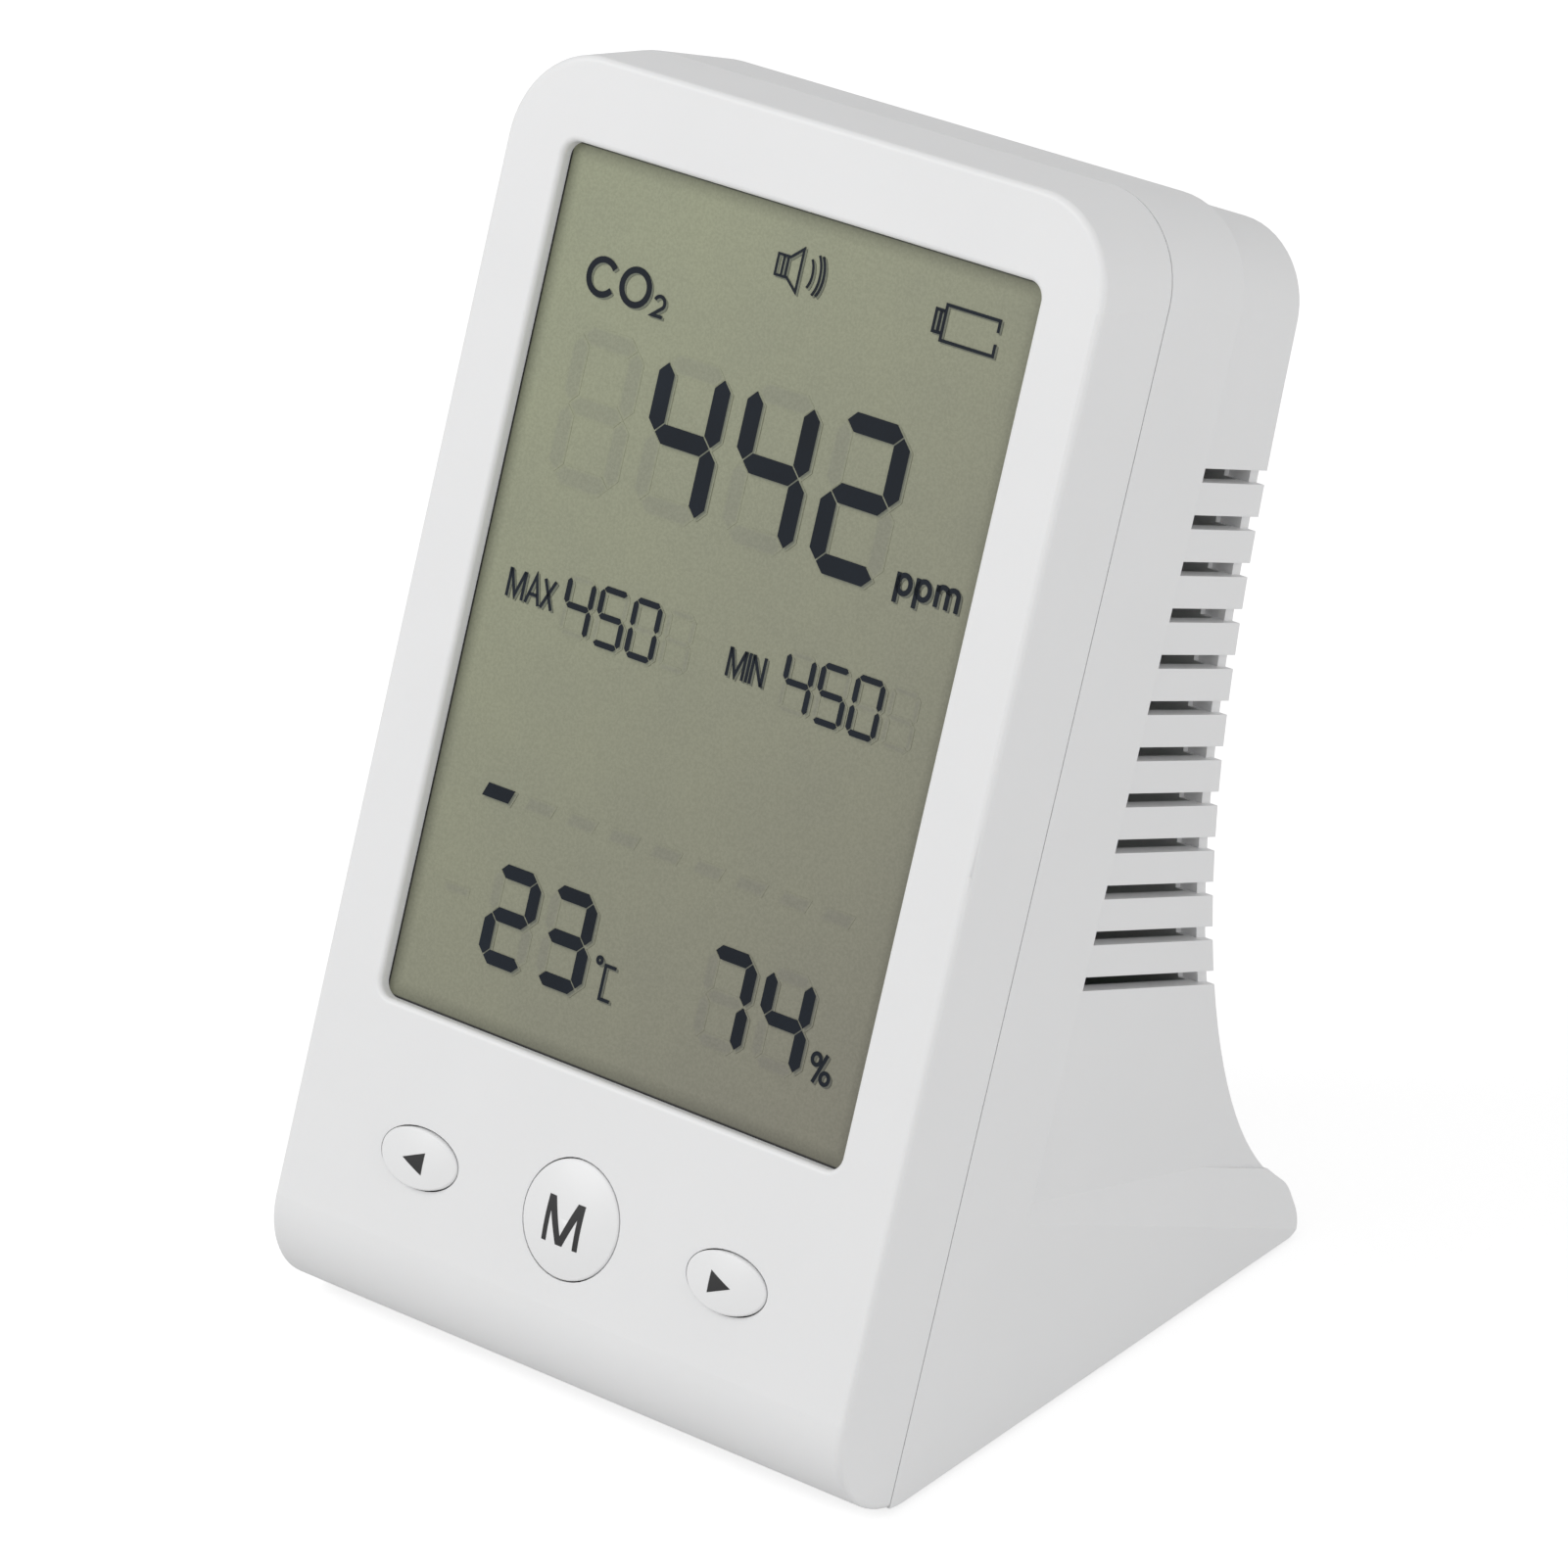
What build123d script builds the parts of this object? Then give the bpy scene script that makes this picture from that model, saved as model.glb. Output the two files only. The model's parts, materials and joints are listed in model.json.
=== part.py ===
from build123d import *
from math import cos, radians, sin
import os

# Carbon dioxide monitor: a leaning housing in two shells, a segment display, three
# push buttons, a louvred sensor pod at the back and a wedge foot. Lengths are in mm.
#
# The housing is described in two frames that share one origin, the sharp corner
# where the face plane would meet the base plane:
#   u  up along the leaning face      n  depth into the housing, square to the face
#   s  back along the flat base       z  height above the base
# The row's own origin is under the middle of the whole object, at the feet.

os.makedirs("parts", exist_ok=True)

# ---- driving dimensions: housing ----
LEAN = 23.5                  # lean of the face, degrees back from upright
FACE_W = 80.0                # width at the front face
FACE_H = 142.0               # u of the top edge
CORNER_R = 10.5              # top corners, seen from the front
CHIN_R = 9.4                 # roll from the face under to the base
EDGE_R = 0.7                 # rounding round the face
PART_N = 10.8                # depth of the parting line
PART_GAP = 0.15              # shadow gap of the parting line
FLARE = 0.3                  # each side widens this much from face to parting line
STEP_N = 23.9                # depth where the band ends and the pod starts
RISE = 1.3                   # the top rises this much from face to parting line
STEP_IN = 0.7                # pod is this much inside the band at the sides
STEP_TOP = 1.2               # and this much lower than it at the top
STEP_R = 0.25                # rounding of the band's rear edge
POD_DRAFT = 2.8              # degrees
WALL = 2.0                   # side walls
SKIN = 2.4                   # face, rear wall and base
FOOT_LEN = 82.5              # s of the toe
TOE_H = 5.2                  # height of the toe
TOE_R = 2.6
LEDGE_U = 35.9               # foot ledge on the pod's sides, at the step
LEDGE_FALL = 2.8             # the ledge drops towards the toe, degrees
RAMP_IN = 2.4                # ramp from the ledge up to the pod's side
RAMP_H = 6.0
RAMP_N = 13.8                # depth where the foot starts, hidden under the band
LEDGE_DROP = 2.6             # the cavity's ledge lies lower by this much per mm of wall
MID_S = 47.0                 # s of the middle of the object's depth
FOOT_PROUD = 0.5             # rubber feet stand this much below the base
BAND_W = FACE_W + 2 * FLARE
BAND_TOP = FACE_H + RISE
# rear outline of the pod from the toe up, as (s, z)
BACK_LINE = [(FOOT_LEN - 0.2, TOE_H), (77.2, 11.6), (72.6, 23.0), (70.4, 38.5), (72.0, 61.0),
             (79.5, 89.5), (92.6, 125.0)]

# ---- driving dimensions: window and display ----
WINDOW_W = 64.2
WINDOW_H = 93.7
WINDOW_U = 85.95             # centre height
WINDOW_R = 1.8
LIP_R = 0.6
GLASS_N = 1.5                # front of the display, behind the face
GLASS_W = 66.6
GLASS_H = 96.3
FILM_T = 0.2
GLASS_T = 0.7
LEDGE_H = 3.0                # contact ledge below the front glass
SEAT_FIT = 0.2               # room round the display in the front shell
LIGHT_T = 2.6

# ---- driving dimensions: buttons and switches ----
BUTTON_U = 24.0
BUTTON_PITCH = 21.5
MODE_D = 13.2                # hole sizes
SIDE_W = 11.0
SIDE_H = 6.7
BUTTON_GAP = 0.16
DOME_TOP = 1.0               # crown of a cap above the face
MODE_CROWN_R = 24.0
SIDE_CROWN_R = 17.0
FLANGE_N = 2.55              # retaining flange behind the face
FLANGE_T = 0.7
FLANGE_OUT = 0.9
CAP_END_N = 3.4
SWITCH_W = 6.0
SWITCH_H = 2.2
PLUNGER_R = 1.5
PLUNGER_FIT = 0.05
PLUNGER_L = 1.9

# ---- driving dimensions: boards ----
BOARD_N = 6.4                # front of the main board
BOARD_T = 1.6
BOARD_W = 75.2
BOARD_TOP = 133.8
BOARD_BOTTOM = 16.0
BOARD_SCREW_X = 35.6
BOARD_SCREW_U = (42.0, 86.0, 129.0)
BOARD_BOSS_R = 1.9
SENSOR_N = 20.8              # front of the sensor board
SENSOR_T = 1.2
SENSOR_W = 46.0
SENSOR_H = 58.0
SENSOR_U = 92.0
SENSOR_SCREW_X = 19.5
SENSOR_SCREW_PITCH = 50.0
CELL_W = 20.0                # infrared cell
CELL_L = 33.0
CELL_H = 8.6

# ---- driving dimensions: louvres, feet, screws, power ----
LOUVRES = 12
LOUVRE_PITCH = 4.955
LOUVRE_TOP_U = 115.7
LOUVRE_H = 1.5
LOUVRE_R = 0.7
LOUVRE_N = 24.1
LOUVRE_L = 40.0              # runs out through the rear edge
LOUVRE_DEEP = 1.0            # depth of the groove across the rear wall
LOUVRE_BACK = 1.6            # rear wall left behind the open part
LOUVRE_CUT = 5.0             # reach of the open part through the side wall
FOOT_R = 4.0
FOOT_SINK = 0.7
FOOT_S = (19.0, 71.0)
FOOT_X = 31.0
TOP_SCREW_X = 22.0
TOP_SCREW_U = 136.9
TOP_SEAT_N = 15.0
BASE_SCREW_X = 20.0
BASE_SCREW_S = 19.5
SCREW_R = 1.25               # housing screws
PILOT_R = 1.3
HEAD_R = 2.3
SMALL_SCREW_R = 0.95         # board screws
SMALL_PILOT_R = 1.0
SMALL_CLEAR_R = 1.15
SMALL_HEAD_R = 1.8
PACK_X = 8.0                 # pouch cell, lying on the base
PACK_S = 48.0
PACK = (50.0, 34.0, 8.0)
PAD_T = 0.8
USB_W = 8.9
USB_H = 3.2
USB_L = 7.3
PORT_S = 43.0
CHARGE_Z = 6.2
CHARGE_T = 1.2
CHARGE_W = 17.0
CHARGE_D = 18.0

# ---- planes ----
LEAN_SIN = sin(radians(LEAN))
LEAN_COS = cos(radians(LEAN))
CORNER = (0, -MID_S, FOOT_PROUD)
INTO = (0, LEAN_COS, -LEAN_SIN)
FACE = Plane(CORNER, x_dir=(1, 0, 0), z_dir=(0, -LEAN_COS, LEAN_SIN))     # x, u, outward
DEEP = Plane(CORNER, x_dir=(-1, 0, 0), z_dir=INTO)                        # -x, u, inward
SIDE = Plane(CORNER, x_dir=INTO, z_dir=(1, 0, 0))                         # n, u, across
STAND = Plane(CORNER, x_dir=(0, 1, 0), z_dir=(1, 0, 0))                   # s, z, across
BASE = Plane(CORNER, x_dir=(1, 0, 0), z_dir=(0, 0, 1))                    # x, s, up
DEPTH = Axis((0, 0, 0), INTO)
HEIGHT = Axis((0, 0, 0), (0, LEAN_SIN, LEAN_COS))
FAR = 160.0                  # beyond every face of the housing


def finish(name, piece):
    """Label a piece and write its STEP file."""
    piece.part.label = name
    export_step(piece.part, f"parts/{name}.step")


def rear_plane(n):
    """Plane square to the face at depth n, looking inward."""
    return DEEP.offset(n)


# ---- housing form ----
def front_outline(half_w, top, radius):
    """Sketch of the housing seen along its depth, open well below the base."""
    with Locations((0, (top - FAR) / 2)):
        RectangleRounded(2 * half_w, top + FAR, radius)


def lean_point(n, u):
    """(s, z) of a point given by its depth and height in the leaning frame."""
    return (n * LEAN_COS + u * LEAN_SIN, u * LEAN_COS - n * LEAN_SIN)


def back_points(skin):
    """Points of the pod's rear outline, moved in by skin."""
    line = Edge.make_spline([Vector(*point) for point in BACK_LINE])
    points = []
    for s, z in BACK_LINE:
        along = line.tangent_at(line.param_at_point(Vector(s, z)))
        points.append((s - skin * along.Y, z + skin * along.X))
    return points


def foot_block(inset):
    """Wide foot under the pod, with a ramp along each top edge."""
    fall = radians(LEDGE_FALL)
    top = LEDGE_U + RAMP_H - LEDGE_DROP * inset
    drop = (FAR - RAMP_N) * sin(fall)
    with BuildPart() as foot:
        with BuildSketch(SIDE):
            with BuildLine():
                Polyline((RAMP_N, -FAR), (RAMP_N, top), (FAR, top - drop), (FAR, -FAR), close=True)
            make_face()
        extrude(amount=BAND_W / 2 - inset, both=True)
        ledge = foot.faces().sort_by(HEIGHT)[-1]
        ramps = ledge.edges().filter_by(Axis.X, reverse=True)
        chamfer(ramps, length=RAMP_IN, length2=RAMP_H, reference=ledge)
    return foot.part


def form(inset=0.0, skin=0.0):
    """The closed housing as one solid, its sides moved in by inset and the rest by skin."""
    foot = foot_block(inset)
    with BuildPart() as body:
        with BuildSketch(DEEP):
            front_outline(FACE_W / 2 - inset, FACE_H - inset, CORNER_R - inset)
        with BuildSketch(rear_plane(PART_N)):
            front_outline(BAND_W / 2 - inset, BAND_TOP - inset, CORNER_R - inset)
        loft()
        with BuildSketch(rear_plane(PART_N)):
            front_outline(BAND_W / 2 - inset, BAND_TOP - inset, CORNER_R - inset)
        extrude(amount=STEP_N - PART_N)
        rim = body.faces().sort_by(DEPTH)[-1]
        fillet(rim.edges(), STEP_R)
        with BuildSketch(rear_plane(STEP_N - 2)):
            pod_in = inset + STEP_IN
            front_outline(BAND_W / 2 - pod_in, BAND_TOP - inset - STEP_TOP, CORNER_R - pod_in)
        extrude(amount=FOOT_LEN, taper=POD_DRAFT)
        add(foot)
        with BuildSketch(STAND):
            with BuildLine():
                back = Spline(*back_points(skin))
                chin = lean_point(skin, skin * (1 + LEAN_SIN) / LEAN_COS)
                toe = (FOOT_LEN - skin, skin)
                Polyline(back @ 1, lean_point(skin, FAR), chin, toe, back @ 0)
            make_face()
            fillet(vertices().sort_by_distance(chin)[0], CHIN_R - skin)
            if not skin:
                fillet(vertices().sort_by_distance(toe)[:2], TOE_R)
        extrude(amount=FAR / 2, both=True, mode=Mode.INTERSECT)
    return body.part


OUTER = form()
CAVITY = form(WALL, SKIN)
LIP_OUT = form(WALL / 2, SKIN / 2)


def slab(n0, n1):
    """Everything between two depths."""
    with BuildPart() as band:
        with BuildSketch(rear_plane(n0)):
            Rectangle(2 * FAR, 2 * FAR)
        extrude(amount=n1 - n0)
    return band.part


def cylinder_in(points, radius, n0, n1):
    """Round posts or holes square to the face, at (x, u) points, from depth n0 to n1."""
    with BuildPart() as posts:
        with BuildSketch(FACE.offset(-n0)):
            with Locations(*points):
                Circle(radius)
        extrude(amount=n0 - n1)
    return posts.part


def upright(points, radius, z0, z1):
    """Round posts or holes square to the base, at (x, s) points, from z0 to z1."""
    with BuildPart() as posts:
        with BuildSketch(BASE.offset(z0)):
            with Locations(*points):
                Circle(radius)
        extrude(amount=z1 - z0)
    return posts.part


def box_in(x, u, width, height, n0, n1, radius=0.0):
    """Block square to the face, centred on (x, u), from depth n0 to n1."""
    with BuildPart() as block:
        with BuildSketch(FACE.offset(-n0)):
            with Locations((x, u)):
                if radius:
                    RectangleRounded(width, height, radius)
                else:
                    Rectangle(width, height)
        extrude(amount=n0 - n1)
    return block.part


def box_on_base(x, s, width, depth, z0, z1, radius=0.0):
    """Block square to the base, centred on (x, s), from z0 to z1."""
    with BuildPart() as block:
        with BuildSketch(BASE.offset(z0)):
            with Locations((x, s)):
                if radius:
                    RectangleRounded(width, depth, radius)
                else:
                    Rectangle(width, depth)
        extrude(amount=z1 - z0)
    return block.part


def both_sides(x, heights):
    """Points at plus and minus x for each height."""
    return [(side * x, height) for height in heights for side in (-1, 1)]


BOARD_SCREWS = both_sides(BOARD_SCREW_X, BOARD_SCREW_U)
TOP_SCREWS = both_sides(TOP_SCREW_X, [TOP_SCREW_U])
SENSOR_SCREWS = both_sides(SENSOR_SCREW_X, [SENSOR_U - SENSOR_SCREW_PITCH / 2,
                                            SENSOR_U + SENSOR_SCREW_PITCH / 2])
BASE_SCREWS = both_sides(BASE_SCREW_X, [BASE_SCREW_S])
CHARGE_X = -(BAND_W / 2 - WALL) + 0.4 + CHARGE_W / 2
CHARGE_SCREWS = [(CHARGE_X + 5.5, PORT_S - 6.5), (CHARGE_X + 5.5, PORT_S + 6.5)]
FEET = [(side * FOOT_X, s) for s in FOOT_S for side in (-1, 1)]


# ---- front shell ----
TAB_S0 = 7.0                 # screw tabs of the front shell, reaching over the base
TAB_S1 = BASE_SCREW_S + 3.2
TAB_Z = SKIN + 7.0
TAB_W = 9.0
TAB_SKIN = 0.8               # left above each tab's pilot hole
FIT = 0.15                   # clearance between parts of the housing
ROOT = 0.5                   # how far a boss or post runs into the skin it stands on
THROUGH = 1.0                # how far a cut runs past the surface it opens
TONGUE = 1.2                 # the rear shell's lip, inside the front shell
TONGUE_U = 30.0
BOSS_R = 2.4
PILOT_FLOOR = 0.6            # left below a pilot hole in a board boss
BUTTONS = {
    "left": (-BUTTON_PITCH, SIDE_W, SIDE_H, SIDE_CROWN_R),
    "mode": (0.0, MODE_D, MODE_D, MODE_CROWN_R),
    "right": (BUTTON_PITCH, SIDE_W, SIDE_H, SIDE_CROWN_R),
}


def oval_in(x, width, height, n0, n1):
    """Round or elliptical block square to the face, at button height."""
    with BuildPart() as block:
        with BuildSketch(FACE.offset(-n0)):
            with Locations((x, BUTTON_U)):
                if width == height:
                    Circle(width / 2)
                else:
                    Ellipse(width / 2, height / 2)
        extrude(amount=n0 - n1)
    return block.part


def lip_ring(outer_in, n0, n1, hollow):
    """Band along the sides and top of the parting line, outer_in inside the skin."""
    with BuildPart() as ring:
        with BuildSketch(rear_plane(n0)):
            front_outline(BAND_W / 2 - outer_in, BAND_TOP - outer_in, CORNER_R - outer_in)
            if hollow:
                with Locations((0, (BAND_TOP - WALL - FAR) / 2)):
                    RectangleRounded(BAND_W - 2 * WALL, BAND_TOP - WALL + FAR, CORNER_R - WALL,
                                     mode=Mode.SUBTRACT)
            with Locations((0, TONGUE_U + FAR / 2)):
                Rectangle(FAR, FAR, mode=Mode.INTERSECT)
        extrude(amount=n1 - n0)
    return ring.part


front_space = slab(-THROUGH, PART_N)
lip_space = lip_ring(WALL / 2, PART_N - TONGUE - FIT, PART_N + THROUGH, hollow=False)
window_hole = box_in(0, WINDOW_U, WINDOW_W, WINDOW_H, -THROUGH, SKIN + THROUGH, WINDOW_R)
display_seat = box_in(0, WINDOW_U - LEDGE_H / 2, GLASS_W + 2 * SEAT_FIT, GLASS_H + LEDGE_H + 2 * SEAT_FIT,
                      GLASS_N, SKIN + THROUGH)
button_holes = [oval_in(x, width, height, -THROUGH, SKIN + THROUGH)
                for x, width, height, _ in BUTTONS.values()]
top_bosses = cylinder_in(TOP_SCREWS, BOSS_R, SKIN - ROOT, PART_N)
top_pilots = cylinder_in(TOP_SCREWS, PILOT_R, SKIN + 2 * PILOT_FLOOR, PART_N)
board_bosses = cylinder_in(BOARD_SCREWS, BOARD_BOSS_R, SKIN - ROOT, BOARD_N)
board_pilots = cylinder_in(BOARD_SCREWS, SMALL_PILOT_R, SKIN + PILOT_FLOOR, BOARD_N)
tab_pilots = upright(BASE_SCREWS, PILOT_R, SKIN, TAB_Z - TAB_SKIN)
with BuildPart() as tabs:
    for screw_x, _ in BASE_SCREWS:
        add(box_on_base(screw_x, (TAB_S0 + TAB_S1) / 2, TAB_W, TAB_S1 - TAB_S0, SKIN + FIT, TAB_Z))
    add(LIP_OUT, mode=Mode.INTERSECT)

with BuildPart() as front_shell:
    add(OUTER)
    add(front_space, mode=Mode.INTERSECT)
    face = front_shell.faces().filter_by(GeomType.PLANE).sort_by(DEPTH)[0]
    chin = front_shell.faces().filter_by(GeomType.CYLINDER)[0]
    rim = face.edges().filter_by(Axis.X, reverse=True) + chin.edges().filter_by(GeomType.BSPLINE)
    rim.append(face.edges().filter_by(Axis.X).sort_by(Axis.Z)[-1])
    fillet(rim, EDGE_R)
    add(CAVITY, mode=Mode.SUBTRACT)
    add(lip_space, mode=Mode.SUBTRACT)
    add(top_bosses)
    add(board_bosses)
    add(tabs)
    add(window_hole, mode=Mode.SUBTRACT)
    face = front_shell.faces().filter_by(GeomType.PLANE).sort_by(DEPTH)[0]
    fillet(face.inner_wires()[0].edges(), LIP_R)
    for hole in button_holes:
        add(hole, mode=Mode.SUBTRACT)
    add(display_seat, mode=Mode.SUBTRACT)
    add(top_pilots, mode=Mode.SUBTRACT)
    add(board_pilots, mode=Mode.SUBTRACT)
    add(tab_pilots, mode=Mode.SUBTRACT)
finish("front_shell", front_shell)

# ---- rear shell ----
TUBE_R = 3.6                 # wells of the long rear screws
WELL_R = 2.6
BASE_WELL = 1.4              # depth of the wells of the base screws
CLEAR_R = 1.45
SENSOR_POST_R = 2.4
SENSOR_PILOT = 8.0           # depth of the pilot holes behind the sensor board
CHARGE_POST_R = 2.0
PORT_FIT = 0.3               # room round the charging socket
PORT_R = 1.6

rear_space = slab(PART_N + PART_GAP, FAR)
tongue = lip_ring(WALL / 2 + FIT, PART_N - TONGUE, PART_N + THROUGH, hollow=True)
wells = cylinder_in(TOP_SCREWS, WELL_R, TOP_SEAT_N, FAR)
well_holes = cylinder_in(TOP_SCREWS, CLEAR_R, PART_N - THROUGH, FAR)
sensor_pilots = cylinder_in(SENSOR_SCREWS, SMALL_PILOT_R, SENSOR_N, SENSOR_N + SENSOR_T + SENSOR_PILOT)
charge_pilots = upright(CHARGE_SCREWS, SMALL_PILOT_R, SKIN, CHARGE_Z + THROUGH)
base_holes = upright(BASE_SCREWS, CLEAR_R, -THROUGH, SKIN + THROUGH)
base_wells = upright(BASE_SCREWS, WELL_R, -THROUGH, BASE_WELL)
foot_seats = upright(FEET, FOOT_R + FIT, -THROUGH, FOOT_SINK)
with BuildPart() as posts:
    add(cylinder_in(TOP_SCREWS, TUBE_R, PART_N + PART_GAP, FAR))
    add(cylinder_in(SENSOR_SCREWS, SENSOR_POST_R, SENSOR_N + SENSOR_T, FAR))
    add(upright(CHARGE_SCREWS, CHARGE_POST_R, 0, CHARGE_Z))
    add(LIP_OUT, mode=Mode.INTERSECT)
with BuildPart() as louvre_bars:
    for side in (-1, 1):
        with BuildSketch(SIDE.offset(side * (BAND_W / 2 + THROUGH))):
            with Locations((LOUVRE_N + LOUVRE_L / 2, LOUVRE_TOP_U - LOUVRE_PITCH * (LOUVRES - 1) / 2)):
                with GridLocations(0, LOUVRE_PITCH, 1, LOUVRES):
                    RectangleRounded(LOUVRE_L, LOUVRE_H, LOUVRE_R)
        extrude(amount=-side * (LOUVRE_CUT + THROUGH))
with BuildPart() as louvre_openings:
    add(louvre_bars)
    add(form(0, LOUVRE_BACK), mode=Mode.INTERSECT)
with BuildPart() as louvre_grooves:
    add(louvre_bars)
    add(form(LOUVRE_DEEP, 0), mode=Mode.SUBTRACT)
with BuildPart() as port:
    with BuildSketch(STAND.offset(-BAND_W / 2 - THROUGH)):
        with Locations((PORT_S, CHARGE_Z + CHARGE_T + USB_H / 2)):
            RectangleRounded(USB_W + 2 * PORT_FIT, USB_H + 2 * PORT_FIT, PORT_R)
    extrude(amount=WALL + 2 * THROUGH)

with BuildPart() as rear_shell:
    add(OUTER)
    add(rear_space, mode=Mode.INTERSECT)
    add(CAVITY, mode=Mode.SUBTRACT)
    add(tongue)
    add(posts)
    for cut in (wells, well_holes, sensor_pilots, charge_pilots, base_holes, base_wells, foot_seats,
                louvre_openings.part, louvre_grooves.part, port.part):
        add(cut, mode=Mode.SUBTRACT)
finish("rear_shell", rear_shell)


# ---- buttons and their switches ----
CAP_WALL = 1.1
CAP_ROOF = 0.6               # the cap's hollow starts this far behind the face
CAP_EDGE_R = 0.25
LUG_W = 1.4
LUG_L = 3.0
LUG_T = 0.3
PLUNGER_GAP = 0.05           # between the cap's post and the plunger


def button_cap(x, width, height, crown_r):
    """Domed cap with a retaining flange, hollow behind, and a post that works the switch."""
    back = FLANGE_N + FLANGE_T
    cap_w = width - 2 * BUTTON_GAP
    cap_h = height - 2 * BUTTON_GAP
    shaft = oval_in(x, cap_w, cap_h, -2 * DOME_TOP, back)
    flange = oval_in(x, width + 2 * FLANGE_OUT, height + 2 * FLANGE_OUT, FLANGE_N, back)
    hollow = oval_in(x, cap_w - 2 * CAP_WALL, cap_h - 2 * CAP_WALL, CAP_ROOF, back)
    post = cylinder_in([(x, BUTTON_U)], PLUNGER_R - 0.1, CAP_ROOF / 2, CAP_END_N)
    with BuildPart() as cap:
        add(shaft)
        with Locations(FACE.offset(DOME_TOP - crown_r).location * Location((x, BUTTON_U, 0))):
            Sphere(crown_r, mode=Mode.INTERSECT)
        fillet(cap.faces().filter_by(GeomType.SPHERE).edges(), CAP_EDGE_R)
        add(flange)
        add(hollow, mode=Mode.SUBTRACT)
        add(post)
    return cap


def switch_case(x):
    """Square case of a push switch, soldered to the main board, with its bore and two lugs."""
    bore = cylinder_in([(x, BUTTON_U)], PLUNGER_R + PLUNGER_FIT, 0, BOARD_N - LUG_T)
    with BuildPart() as case:
        add(box_in(x, BUTTON_U, SWITCH_W, SWITCH_W, BOARD_N - SWITCH_H, BOARD_N))
        chamfer(case.edges().filter_by(DEPTH), 0.4)
        for side in (-1, 1):
            add(box_in(x + side * SWITCH_W / 2, BUTTON_U, LUG_W, LUG_L, BOARD_N - LUG_T, BOARD_N))
        add(bore, mode=Mode.SUBTRACT)
    return case


def switch_plunger(x):
    """Round plunger standing out of the switch case, under the cap's post."""
    start = CAP_END_N + PLUNGER_GAP
    with BuildPart() as plunger:
        add(cylinder_in([(x, BUTTON_U)], PLUNGER_R, start, start + PLUNGER_L))
        chamfer(plunger.edges().filter_by(GeomType.CIRCLE).sort_by(DEPTH)[0], 0.2)
    return plunger


for side, (x, width, height, crown_r) in BUTTONS.items():
    finish(f"button_{side}", button_cap(x, width, height, crown_r))
    finish(f"switch_case_{side}", switch_case(x))
    finish(f"switch_plunger_{side}", switch_plunger(x))

# ---- display ----
FRONT_FILM_N = GLASS_N
FRONT_GLASS_N = FRONT_FILM_N + FILM_T
REAR_GLASS_N = FRONT_GLASS_N + GLASS_T
REAR_FILM_N = REAR_GLASS_N + GLASS_T
LIGHT_N = REAR_FILM_N + FILM_T
REAR_GLASS_H = GLASS_H + LEDGE_H
REAR_GLASS_U = WINDOW_U - LEDGE_H / 2
STRIP_U = WINDOW_U - GLASS_H / 2 - LEDGE_H / 2
STRIP_W = 58.0
STRIP_H = 1.8
FILM_IN = 0.3                # films are this much inside the glass
LIGHT_IN = 1.0               # and the backlight this much
CORNER_CUT = 1.0             # corner radius of the backlight and its frame
SLACK = 0.1                  # room between the frame and what it holds


def pane(name, u, width, height, n, thickness, radius=0.3):
    """One flat rectangular layer of the display."""
    with BuildPart() as layer:
        add(box_in(0, u, width, height, n, n + thickness, radius))
    finish(name, layer)


film_w = GLASS_W - 2 * FILM_IN
film_h = GLASS_H - 2 * FILM_IN
light_w = GLASS_W - 2 * LIGHT_IN
light_h = GLASS_H - 2 * LIGHT_IN
pane("lcd_front_film", WINDOW_U, film_w, film_h, FRONT_FILM_N, FILM_T)
pane("lcd_front_glass", WINDOW_U, GLASS_W, GLASS_H, FRONT_GLASS_N, GLASS_T)
pane("lcd_rear_glass", REAR_GLASS_U, GLASS_W, REAR_GLASS_H, REAR_GLASS_N, GLASS_T)
pane("lcd_rear_film", WINDOW_U, film_w, film_h, REAR_FILM_N, FILM_T)
pane("backlight_panel", WINDOW_U, light_w, light_h, LIGHT_N, LIGHT_T, CORNER_CUT)
pane("contact_strip", STRIP_U, STRIP_W, STRIP_H, REAR_FILM_N, BOARD_N - REAR_FILM_N)

frame_body = box_in(0, REAR_GLASS_U, GLASS_W + 3 * SLACK, REAR_GLASS_H + 2 * SLACK,
                    REAR_FILM_N + SLACK / 5, BOARD_N, CORNER_CUT)
frame_hole = box_in(0, WINDOW_U, light_w + 2 * SLACK, light_h + 2 * SLACK,
                    0, BOARD_N + THROUGH, CORNER_CUT)
strip_slot = box_in(0, STRIP_U, STRIP_W + 3 * SLACK, STRIP_H + 2 * SLACK, 0, BOARD_N + THROUGH)
film_seat = box_in(0, WINDOW_U, film_w + 2 * SLACK, film_h + 2 * SLACK, 0, LIGHT_N)
with BuildPart() as display_frame:
    add(frame_body)
    add(frame_hole, mode=Mode.SUBTRACT)
    add(film_seat, mode=Mode.SUBTRACT)
    add(strip_slot, mode=Mode.SUBTRACT)
finish("display_frame", display_frame)

# ---- main board and what is soldered to it ----
BOARD_BACK = BOARD_N + BOARD_T
SOCKET_W = 8.0
SOCKET_H = 4.4
SOCKET_T = 5.0
SOCKET_WALL = 0.8
BUZZER_HOLE_R = 1.2
RESIN_T = 1.6
BUZZER_R = 6.0
BUZZER_T = 6.5
BUZZER_AT = (-22.0, 112.0)
RESIN_R = 8.0
RESIN_AT = (14.0, 84.0)
LINK_U = 56.0                # socket of the sensor wires on the main board
POWER_AT = (8.0, 34.0)       # socket of the pouch cell's wires
CHARGE_AT = (-29.5, 34.0)    # socket of the charging wires

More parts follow.
